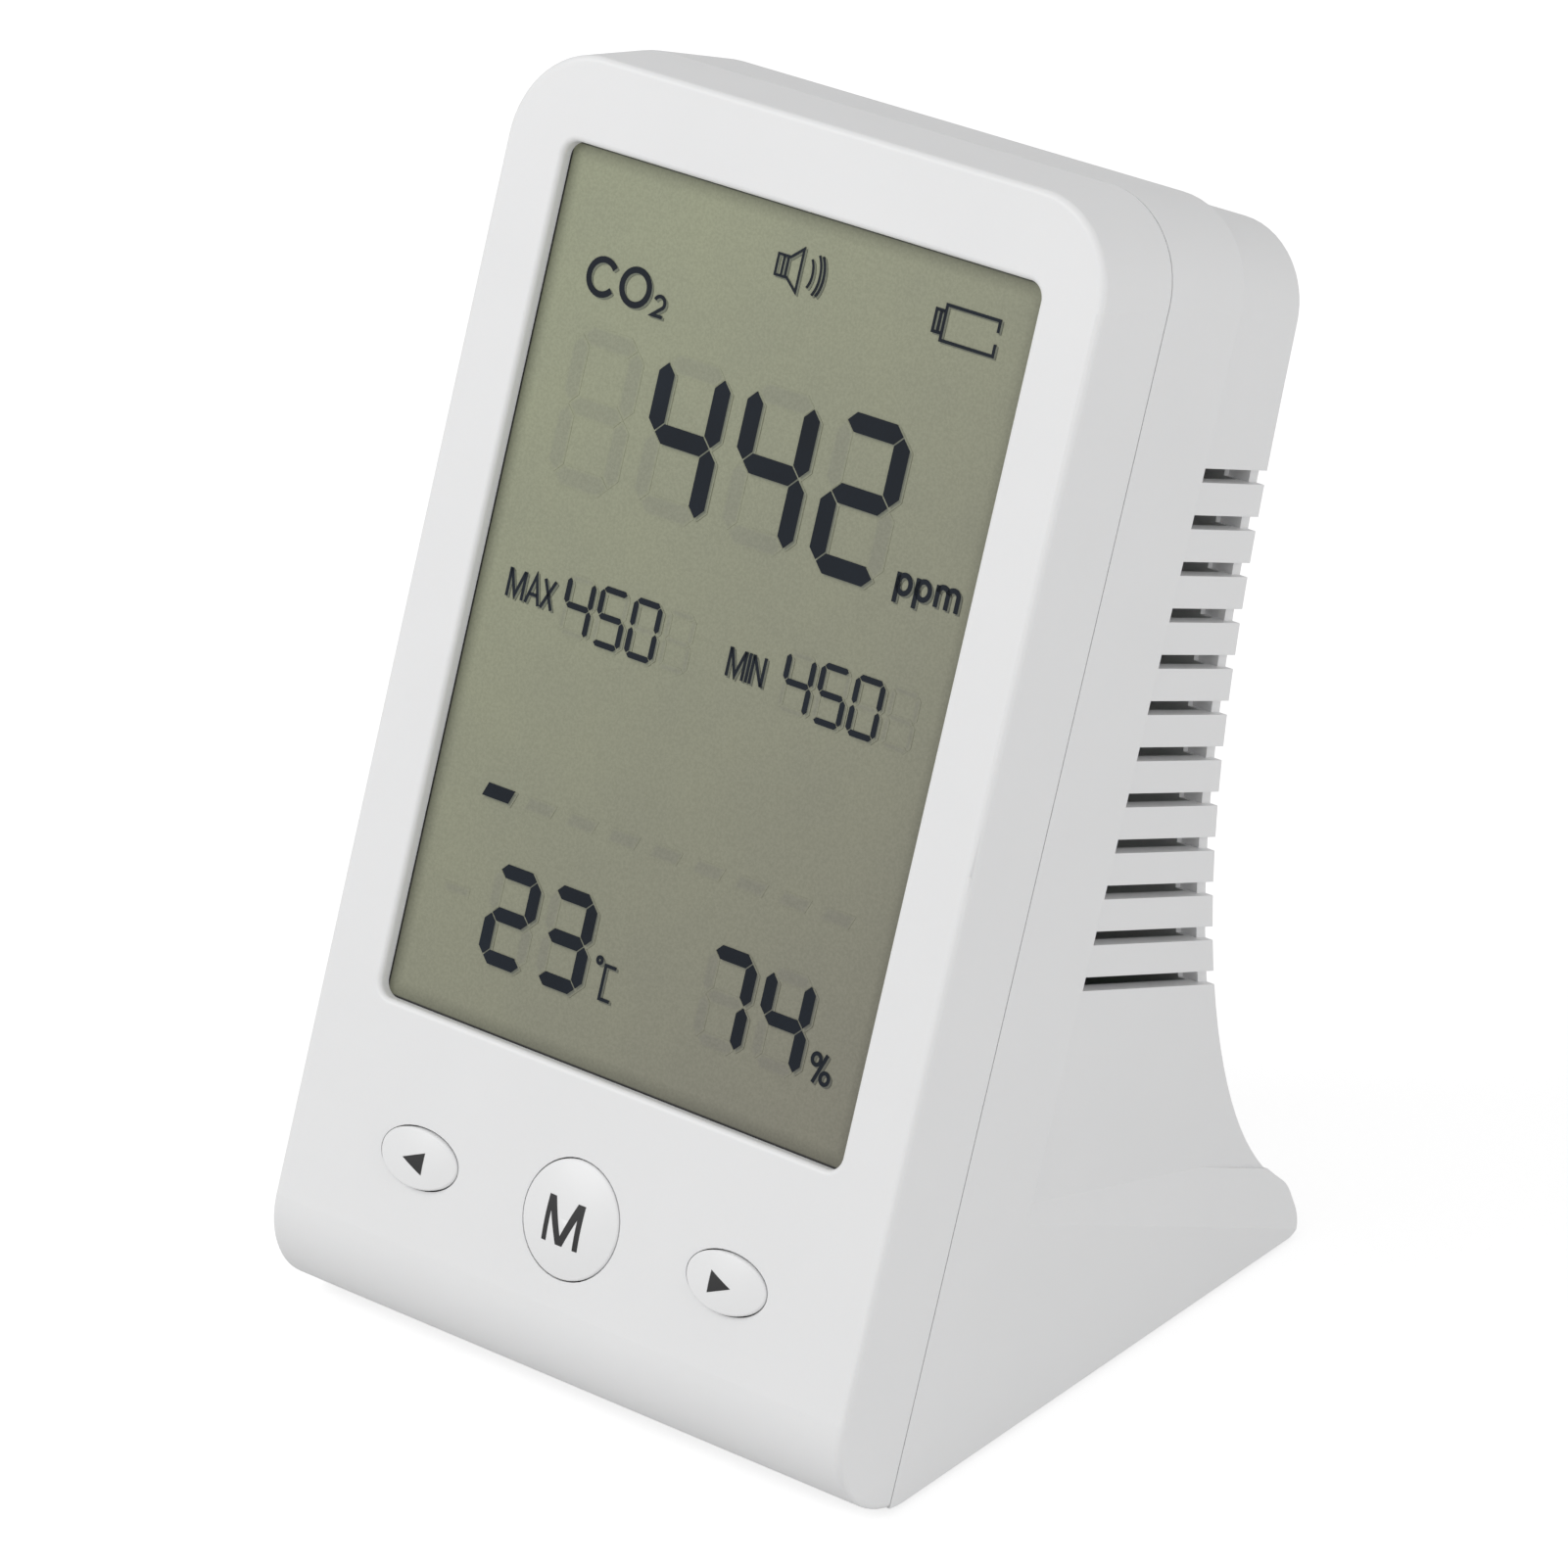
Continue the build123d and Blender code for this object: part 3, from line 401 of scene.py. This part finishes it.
def dash(x, y):
    """Slanted mark of the history row."""
    return [(x - 1.95, y - 0.75), (x + 1.75, y - 0.75), (x + 2.35, y + 0.75), (x - 1.35, y + 0.75)]


def picture_lines():
    """Every sign and unit that is drawn with lines, in place, with the width of its lines."""
    return [(formula_strokes(-25.0, 33.8), 0.68), (two_strokes(-17.55, 31.6, 1.4, 2.1), 0.38),
            (ppm_strokes(21.1, 12.0), 0.55), (speaker_strokes(-1.65, 40.65), 0.27),
            (battery_strokes(19.45, 40.0), 0.34),
            (word(LETTERS_MAX, -28.4, -1.65, WORD_HEIGHT), 0.36),
            (word(LETTERS_MIN, 2.3, -1.95, WORD_HEIGHT), 0.36),
            (percent_strokes(24.6, -37.5), 0.42), (celsius_strokes(-5.55, -37.1), 0.36)]


def display_picture(lit_look, shade_look, ghost_look):
    """Figures, signs and unlit segments of the display."""
    lit, shade, ghost = layers = [Layer(on_film, PLATE_T * k) for k in (3, 2, 1)]
    rows = [(LARGE_X, " 442", LARGE_Y, "large"), (MAX_X, "450 ", SMALL_Y, "small"),
            (MIN_X, "450 ", SMALL_Y, "small"), (TENS_X, "23", MEDIUM_Y, "medium"),
            (PERCENT_X, "74", MEDIUM_Y, "medium")]
    for places, values, y, size in rows:
        for x, value in zip(places, values):
            place_digit(layers, value, x, y, size)
    for i in range(DASHES):
        outline = dash(DASH_X + DASH_PITCH * i, DASH_Y)
        if i:
            ghost.soft_plate(outline, *GHOST_RIM)
        else:
            lit.plate(outline)
            shade.soft_plate(fallen(outline), *SHADOW_RIM)
    ghost.soft_plate(MINUS, *GHOST_RIM)
    for strokes, width in picture_lines():
        place_strokes(layers, strokes, width)
    add_piece(lit.mesh, "display_segments", lit_look, "root")
    add_piece(shade.mesh, "display_shadow", shade_look, "root")
    add_piece(ghost.mesh, "display_unlit_segments", ghost_look, "root")


# ---- signs printed on the buttons ----
SIGN_LIFT = 0.03
SIGN_STEP = 0.5              # its mesh is this fine, to follow the crown
SIGN_ROUNDS = 4
ARROW_SIGN = [[(0, 0), (2.9, 1.23), (0, 2.46)]]
# left half of the M as convex patches that share their corners, about its middle line
M_HALF = [[(-2.5, 0), (-1.85, 0), (-1.85, 3.4), (-2.5, 3.4)],
          [(-2.5, 3.4), (-1.85, 3.4), (-1.55, 5), (-2.5, 5)],
          [(-1.85, 3.4), (-0.45, 0), (0, 1.0), (-1.55, 5)],
          [(-0.45, 0), (0, 0), (0, 1.0)]]


def flipped(patches):
    """The same patches, left and right exchanged."""
    return [[(-x, y) for x, y in reversed(patch)] for patch in patches]


def sign(name, side, patches, x, y, look):
    """A printed sign laid on the crown of a button, its zero point at x, y."""
    crown = Crown(f"button_{side}")
    mesh = bmesh.new()
    corners = {}
    for patch in patches:
        for px, py in patch:
            if (px, py) not in corners:
                corners[px, py] = mesh.verts.new((px + x, py + y, 0))
        mesh.faces.new([corners[point] for point in patch])
    for _ in range(SIGN_ROUNDS):
        long = [edge for edge in mesh.edges if edge.calc_length() > SIGN_STEP]
        bmesh.ops.subdivide_edges(mesh, edges=long, cuts=1)
        bmesh.ops.triangulate(mesh, faces=mesh.faces)
    top = bmesh.ops.extrude_face_region(mesh, geom=mesh.faces[:])
    raised = {item for item in top["geom"] if isinstance(item, bmesh.types.BMVert)}
    for corner in mesh.verts:
        lift = SIGN_LIFT if corner in raised else -SIGN_LIFT
        corner.co = crown(corner.co.x, corner.co.y, lift)
    add_piece(mesh, name, look, f"{side}_button")


def button_signs(look):
    """M on the middle button and an arrow on each of the others."""
    sign("sign_mode", "mode", M_HALF + flipped(M_HALF), -0.3, -2.9, look)
    sign("sign_right", "right", ARROW_SIGN, -1.6, -1.48, look)
    sign("sign_left", "left", flipped(ARROW_SIGN), 1.3, -1.48, look)


# ---- materials ----
class Look:
    """A material's node tree, with short ways to add nodes to it."""

    def __init__(self, name):
        self.material = bpy.data.materials.new(name)
        self.material.use_nodes = True
        self.nodes = self.material.node_tree.nodes
        self.links = self.material.node_tree.links
        self.shader = self.nodes["Principled BSDF"]
        self.place = self.nodes.new("ShaderNodeTexCoord").outputs["Object"]

    def set(self, **values):
        for name, value in values.items():
            self.shader.inputs[name.replace("_", " ")].default_value = value

    def join(self, output, name):
        self.links.new(output, self.shader.inputs[name])

    def noise(self, size, detail=3.0, rough=0.55, stretch=None):
        """Noise whose features are about size metres across."""
        node = self.nodes.new("ShaderNodeTexNoise")
        node.inputs["Scale"].default_value = 1 / size
        node.inputs["Detail"].default_value = detail
        node.inputs["Roughness"].default_value = rough
        source = self.place
        if stretch:
            mapping = self.nodes.new("ShaderNodeMapping")
            mapping.inputs["Scale"].default_value = stretch
            self.links.new(source, mapping.inputs["Vector"])
            source = mapping.outputs["Vector"]
        self.links.new(source, node.inputs["Vector"])
        return node.outputs["Fac"]

    def spread(self, value, low, high, start=0.3, end=0.7):
        """A 0 to 1 value taken from start..end to low..high."""
        node = self.nodes.new("ShaderNodeMapRange")
        node.inputs["From Min"].default_value = start
        node.inputs["From Max"].default_value = end
        node.inputs["To Min"].default_value = low
        node.inputs["To Max"].default_value = high
        self.links.new(value, node.inputs["Value"])
        return node.outputs["Result"]

    def blend(self, value, colour_a, colour_b, kind="MIX"):
        """Colour between two colours or outputs."""
        node = self.nodes.new("ShaderNodeMix")
        node.data_type = "RGBA"
        node.blend_type = kind
        for socket, colour in ((node.inputs[6], colour_a), (node.inputs[7], colour_b)):
            if isinstance(colour, bpy.types.NodeSocket):
                self.links.new(colour, socket)
            else:
                socket.default_value = (*colour, 1)
        if isinstance(value, bpy.types.NodeSocket):
            self.links.new(value, node.inputs[0])
        else:
            node.inputs[0].default_value = value
        return node.outputs[2]

    def along(self, axis):
        """Distance along an axis, in metres."""
        node = self.nodes.new("ShaderNodeVectorMath")
        node.operation = "DOT_PRODUCT"
        node.inputs[1].default_value = axis
        self.links.new(self.place, node.inputs[0])
        return node.outputs["Value"]

    def maths(self, operation, a, b=None):
        node = self.nodes.new("ShaderNodeMath")
        node.operation = operation
        for socket, value in zip(node.inputs, (a, b)):
            if isinstance(value, bpy.types.NodeSocket):
                self.links.new(value, socket)
            elif value is not None:
                socket.default_value = value
        return node.outputs[0]

    def bump(self, height, depth, strength=1.0):
        """Surface relief of the given depth in metres."""
        node = self.nodes.new("ShaderNodeBump")
        node.inputs["Strength"].default_value = strength
        node.inputs["Distance"].default_value = depth
        self.links.new(height, node.inputs["Height"])
        self.join(node.outputs["Normal"], "Normal")


def tinted(colour, amount):
    return tuple(min(1.0, c * amount) for c in colour)


PATCH_SIZE = 14              # mm across one patch of the mottling
PATCH_SHARE = 0.6            # how much of the mottling is patches, the rest being grain
GLOSS_CHANGE = 0.12          # the roughness varies by this share


def moulded(name, colour, rough, grain, relief, mottle, metallic=0.0, specular=0.5):
    """General finish: faint mottling, uneven gloss and a fine grain. Grain and relief are in mm."""
    look = Look(name)
    fine = look.noise(grain * MM, 4, 0.6)
    patches = look.maths("MULTIPLY", look.noise(PATCH_SIZE * MM, 2), PATCH_SHARE)
    both = look.maths("ADD", patches, look.maths("MULTIPLY", fine, 1 - PATCH_SHARE))
    tone = look.spread(both, 0, 1, 0.35, 0.65)
    look.join(look.blend(tone, tinted(colour, 1 - mottle), tinted(colour, 1 + mottle)), "Base Color")
    look.join(look.spread(fine, rough * (1 - GLOSS_CHANGE), min(1, rough * (1 + GLOSS_CHANGE))), "Roughness")
    look.set(Metallic=metallic, Specular_IOR_Level=specular)
    look.bump(fine, relief * MM)
    return look


def housing_look():
    """Satin white plastic with a fine spark-eroded grain."""
    look = moulded("white_satin_plastic", (0.81, 0.812, 0.815), 0.42, grain=0.22, relief=0.0035,
                   mottle=0.008, specular=0.45)
    look.set(Subsurface_Weight=0.06, Subsurface_Radius=(0.9, 0.8, 0.7), Subsurface_Scale=0.8 * MM)
    return look.material


def button_look():
    """Button caps: the housing's plastic, a little smoother."""
    look = moulded("white_button_plastic", (0.82, 0.822, 0.825), 0.34, grain=0.3, relief=0.0015,
                   mottle=0.006, specular=0.5)
    return look.material


def print_look():
    """Pad-printed black ink."""
    look = moulded("black_print", (0.018, 0.018, 0.019), 0.5, grain=0.12, relief=0.004, mottle=0.25)
    return look.material


OLIVE_LIGHT = (0.296, 0.312, 0.212)
OLIVE_DARK = (0.218, 0.212, 0.166)
LIGHT_END, DARK_END = -42, 48  # where both are reached, mm from the middle and down to the right


def olive(look):
    """Grey-green of the reflector seen through the display: darker and warmer low on the right."""
    slope = (ACROSS - 0.9 * UPWARD) / 1.35
    start = FILM_CENTRE.dot(slope)
    down = look.spread(look.along(slope), 0, 1, start + LIGHT_END * MM, start + DARK_END * MM)
    base = look.blend(down, OLIVE_LIGHT, OLIVE_DARK)
    grain = look.spread(look.noise(0.32 * MM, 3, 0.65), 0, 1, 0.38, 0.62)
    speck = look.blend(grain, (0.93, 0.93, 0.92), (1.06, 1.06, 1.06))
    drift = look.spread(look.noise(9 * MM, 2), 0, 1)
    cloud = look.blend(drift, (0.975, 0.975, 0.985), (1.02, 1.02, 1.01))
    return look.blend(1.0, look.blend(1.0, base, speck, "MULTIPLY"), cloud, "MULTIPLY")


def film_finish(look):
    """Fine matt haze of the front polariser."""
    look.set(Roughness=0.42, Specular_IOR_Level=0.35)
    look.bump(look.noise(0.12 * MM, 2), 0.002 * MM)


WINDOW = (64.2, 93.7)        # opening of the front shell over the film, mm
SEAL = (0.16, 0.3)           # the dark seal fades out between these, mm from the opening's edge
PAINTED_SHADE_SPAN = (0.3, 2.0)            # and so does the painted shade of the recess along the edge, which starts with the depth on the next line
PAINTED_SHADE_DEPTH = 0.55


def from_edge(look):
    """Distance in metres from the window's edge, measured inwards."""
    half_across = WINDOW[0] / 2 * MM
    half_up = WINDOW[1] / 2 * MM
    right = look.maths("SUBTRACT", look.along(ACROSS), FILM_CENTRE.dot(ACROSS))
    up = look.maths("SUBTRACT", look.along(UPWARD), FILM_CENTRE.dot(UPWARD))
    away_x = look.maths("ABSOLUTE", right)
    away_y = look.maths("ABSOLUTE", up)
    return look.maths("MINIMUM", look.maths("SUBTRACT", half_across, away_x),
                      look.maths("SUBTRACT", half_up, away_y))


def film_look():
    """Front of the display, with the dark seal printed round its edge and painted shade of the recess fading
    in from it.
    """
    look = Look("display_film")
    edge = from_edge(look)
    seal = look.spread(edge, 1, 0, SEAL[0] * MM, SEAL[1] * MM)
    # painted shade: the film's colour darkened towards the window's edge, standing in for the shadow of the
    # recess
    painted_edge_shade = look.spread(edge, PAINTED_SHADE_DEPTH, 1, PAINTED_SHADE_SPAN[0] * MM, PAINTED_SHADE_SPAN[1] * MM)
    shaded = look.blend(painted_edge_shade, (0.3, 0.3, 0.29), (1, 1, 1))
    lit = look.blend(1.0, olive(look), shaded, "MULTIPLY")
    look.join(look.blend(seal, lit, (0.012, 0.012, 0.012)), "Base Color")
    film_finish(look)
    return look.material


def faded_look(name, inner):
    """The film's colour turning into a multiple of itself where the mesh isn't faded out."""
    look = Look(name)
    base = olive(look)
    fade = look.nodes.new("ShaderNodeVertexColor")
    fade.layer_name = "fade"
    parts = look.nodes.new("ShaderNodeSeparateColor")
    look.links.new(fade.outputs["Color"], parts.inputs["Color"])
    factor = look.blend(parts.outputs["Red"], (1, 1, 1), inner)
    look.join(look.blend(1.0, base, factor, "MULTIPLY"), "Base Color")
    film_finish(look)
    return look.material


def lit_look():
    """Dark blue-black of a lit segment."""
    look = moulded("display_lit", (0.0075, 0.0115, 0.018), 0.5, grain=0.3, relief=0.002, mottle=0.25,
                   specular=0.16)
    return look.material


def board_look():
    """Green solder mask over copper tracks and glass weave."""
    look = Look("green_solder_mask")
    tracks = look.nodes.new("ShaderNodeTexBrick")
    tracks.inputs["Scale"].default_value = 260
    tracks.inputs["Mortar Size"].default_value = 0.06
    tracks.inputs["Color1"].default_value = (0.008, 0.085, 0.035, 1)
    tracks.inputs["Color2"].default_value = (0.010, 0.11, 0.045, 1)
    tracks.inputs["Mortar"].default_value = (0.02, 0.17, 0.06, 1)
    look.links.new(look.place, tracks.inputs["Vector"])
    weave = look.noise(0.5 * MM, 2, 0.5, (1, 1, 6))
    shade = look.blend(look.spread(weave, 0, 1), (0.85, 0.85, 0.85), (1.1, 1.1, 1.1))
    look.join(look.blend(1.0, tracks.outputs["Color"], shade, "MULTIPLY"), "Base Color")
    look.set(Roughness=0.35)
    look.bump(tracks.outputs["Fac"], 0.02 * MM, 0.5)
    return look.material


def glass_look():
    """Clear glass of the display, greenish in its edges."""
    look = moulded("display_glass", (0.62, 0.70, 0.66), 0.08, grain=2.0, relief=0.0005, mottle=0.02)
    look.set(Transmission_Weight=0.85, IOR=1.52)
    return look.material


# colour, roughness, grain in mm, relief in mm, mottling, metallic
PLAIN_FINISHES = {
    "switch_case": ((0.02, 0.02, 0.022), 0.5, 0.3, 0.005, 0.1, 0),
    "switch_plunger": ((0.55, 0.02, 0.02), 0.4, 0.3, 0.003, 0.08, 0),
    "reflector": ((0.70, 0.71, 0.69), 0.25, 0.6, 0.003, 0.04, 0.6),
    "light_guide": ((0.80, 0.80, 0.74), 0.2, 1.0, 0.002, 0.03, 0),
    "display_frame": ((0.75, 0.75, 0.73), 0.5, 0.35, 0.004, 0.02, 0),
    "elastomer": ((0.05, 0.05, 0.055), 0.7, 0.25, 0.006, 0.15, 0),
    "resin": ((0.012, 0.012, 0.013), 0.25, 3.0, 0.02, 0.1, 0),
    "metal": ((0.62, 0.61, 0.58), 0.3, 0.25, 0.003, 0.08, 1),
    "membrane": ((0.78, 0.78, 0.76), 0.9, 0.15, 0.012, 0.05, 0),
    "chip": ((0.03, 0.03, 0.032), 0.45, 0.2, 0.004, 0.1, 0),
    "pouch": ((0.60, 0.61, 0.62), 0.32, 3.5, 0.05, 0.05, 0.85),
    "foam": ((0.06, 0.06, 0.065), 0.95, 0.5, 0.08, 0.3, 0),
    "wire_red": ((0.50, 0.015, 0.012), 0.42, 0.5, 0.004, 0.08, 0),
    "wire_black": ((0.015, 0.015, 0.016), 0.42, 0.5, 0.004, 0.15, 0),
    "screw": ((0.50, 0.50, 0.49), 0.28, 0.2, 0.004, 0.1, 1),
    "rubber": ((0.035, 0.035, 0.037), 0.8, 0.3, 0.012, 0.2, 0),
}


def all_looks():
    """One material for each material slot of the record."""
    looks = {"housing": housing_look(), "button": button_look(), "display_film": film_look(),
             "display_glass": glass_look(), "circuit_board": board_look()}
    for slot, (colour, rough, grain, relief, mottle, metallic) in PLAIN_FINISHES.items():
        looks[slot] = moulded(slot, colour, rough, grain, relief, mottle, metallic).material
    return looks


def dress_nodes(looks):
    """Give every CAD node the material of its slot."""
    for part in frame["record"]["subparts"]:
        data = NODES[part["node"]].data
        data.materials.clear()
        data.materials.append(looks[part["material_slot"]])


# ---- studio ----
FLOOR_GLOW = 0.15            # light the floor gives the object
FLOOR_SEEN = 0.64            # and how bright it is made for the picture
FLOOR_HALF = 6.0             # metres from its middle to its edge
LIGHT_DISTANCE = 1.2
LIGHT_SIZE = 0.8


def studio_floor():
    """A wide pale floor that runs on past the view."""
    mesh = bmesh.new()
    bmesh.ops.create_grid(mesh, x_segments=8, y_segments=8, size=FLOOR_HALF)
    data = bpy.data.meshes.new("studio_floor")
    mesh.to_mesh(data)
    mesh.free()
    floor = bpy.data.objects.new("studio_floor", data)
    bpy.context.scene.collection.objects.link(floor)
    look = Look("studio_floor")
    cloud = look.spread(look.noise(0.4, 2), 0, 1)
    look.join(look.blend(cloud, (0.55, 0.55, 0.55), (0.56, 0.56, 0.56)), "Base Color")
    seen = look.nodes.new("ShaderNodeLightPath").outputs["Is Camera Ray"]
    look.join(look.spread(seen, FLOOR_GLOW, FLOOR_SEEN, 0, 1), "Emission Strength")
    look.set(Roughness=0.9, Specular_IOR_Level=0.1, Emission_Color=(1, 1, 1, 1))
    data.materials.append(look.material)


def studio_sky(strength):
    """Even light from all round."""
    world = bpy.data.worlds.new("studio_sky")
    bpy.context.scene.world = world
    world.use_nodes = True
    sky = world.node_tree.nodes["Background"]
    sky.inputs["Color"].default_value = (1, 1, 1, 1)
    sky.inputs["Strength"].default_value = strength


def soft_light(name, direction, power):
    """A square area light that faces the object from the given direction."""
    centre = (CAD_LOW + CAD_HIGH) / 2
    data = bpy.data.lights.new(name, "AREA")
    data.size = LIGHT_SIZE
    data.energy = power
    light = bpy.data.objects.new(name, data)
    towards = Vector(direction).normalized()
    light.location = centre + towards * LIGHT_DISTANCE
    light.rotation_euler = towards.to_track_quat("Z", "Y").to_euler()
    bpy.context.scene.collection.objects.link(light)


# ---- camera ----
VIEW_AZIMUTH = 41.58         # degrees round to the right of the front
VIEW_ELEVATION = 27.83
VIEW_ROLL = -2.72
VIEW_DISTANCE = 0.9023
AIM_RIGHT = -0.39            # aim point from the middle of the object, mm in the picture's plane
AIM_UP = -6.36
LENS = 196.7
SENSOR = 36.0


def add_camera():
    azimuth, elevation = radians(VIEW_AZIMUTH), radians(VIEW_ELEVATION)
    back = Vector((sin(azimuth) * cos(elevation), -cos(azimuth) * cos(elevation), sin(elevation)))
    right = Vector((cos(azimuth), sin(azimuth), 0))
    up = back.cross(right)
    aim = (CAD_LOW + CAD_HIGH) / 2 + (AIM_RIGHT * right + AIM_UP * up) * MM
    turn = Matrix((right, up, back)).transposed() @ Matrix.Rotation(radians(VIEW_ROLL), 3, "Z")
    data = bpy.data.cameras.new("camera")
    data.lens = LENS
    data.sensor_width = SENSOR
    data.clip_start = 0.05
    data.clip_end = 50
    camera = bpy.data.objects.new("camera", data)
    camera.matrix_world = Matrix.Translation(aim + back * VIEW_DISTANCE) @ turn.to_4x4()
    bpy.context.scene.collection.objects.link(camera)
    bpy.context.scene.camera = camera


# ---- the scene ----
dress_nodes(all_looks())
display_picture(lit_look(), faded_look("display_shade", (0.50, 0.52, 0.56)),
                faded_look("display_ghost", (0.90, 0.895, 0.94)))
button_signs(print_look())
studio_floor()
studio_sky(0.6)
soft_light("key_light", (-0.5, -0.6, 0.62), 6)
soft_light("fill_light", (0.95, -0.1, 0.25), 3.2)
add_camera()
bpy.context.scene.view_settings.view_transform = "Standard"
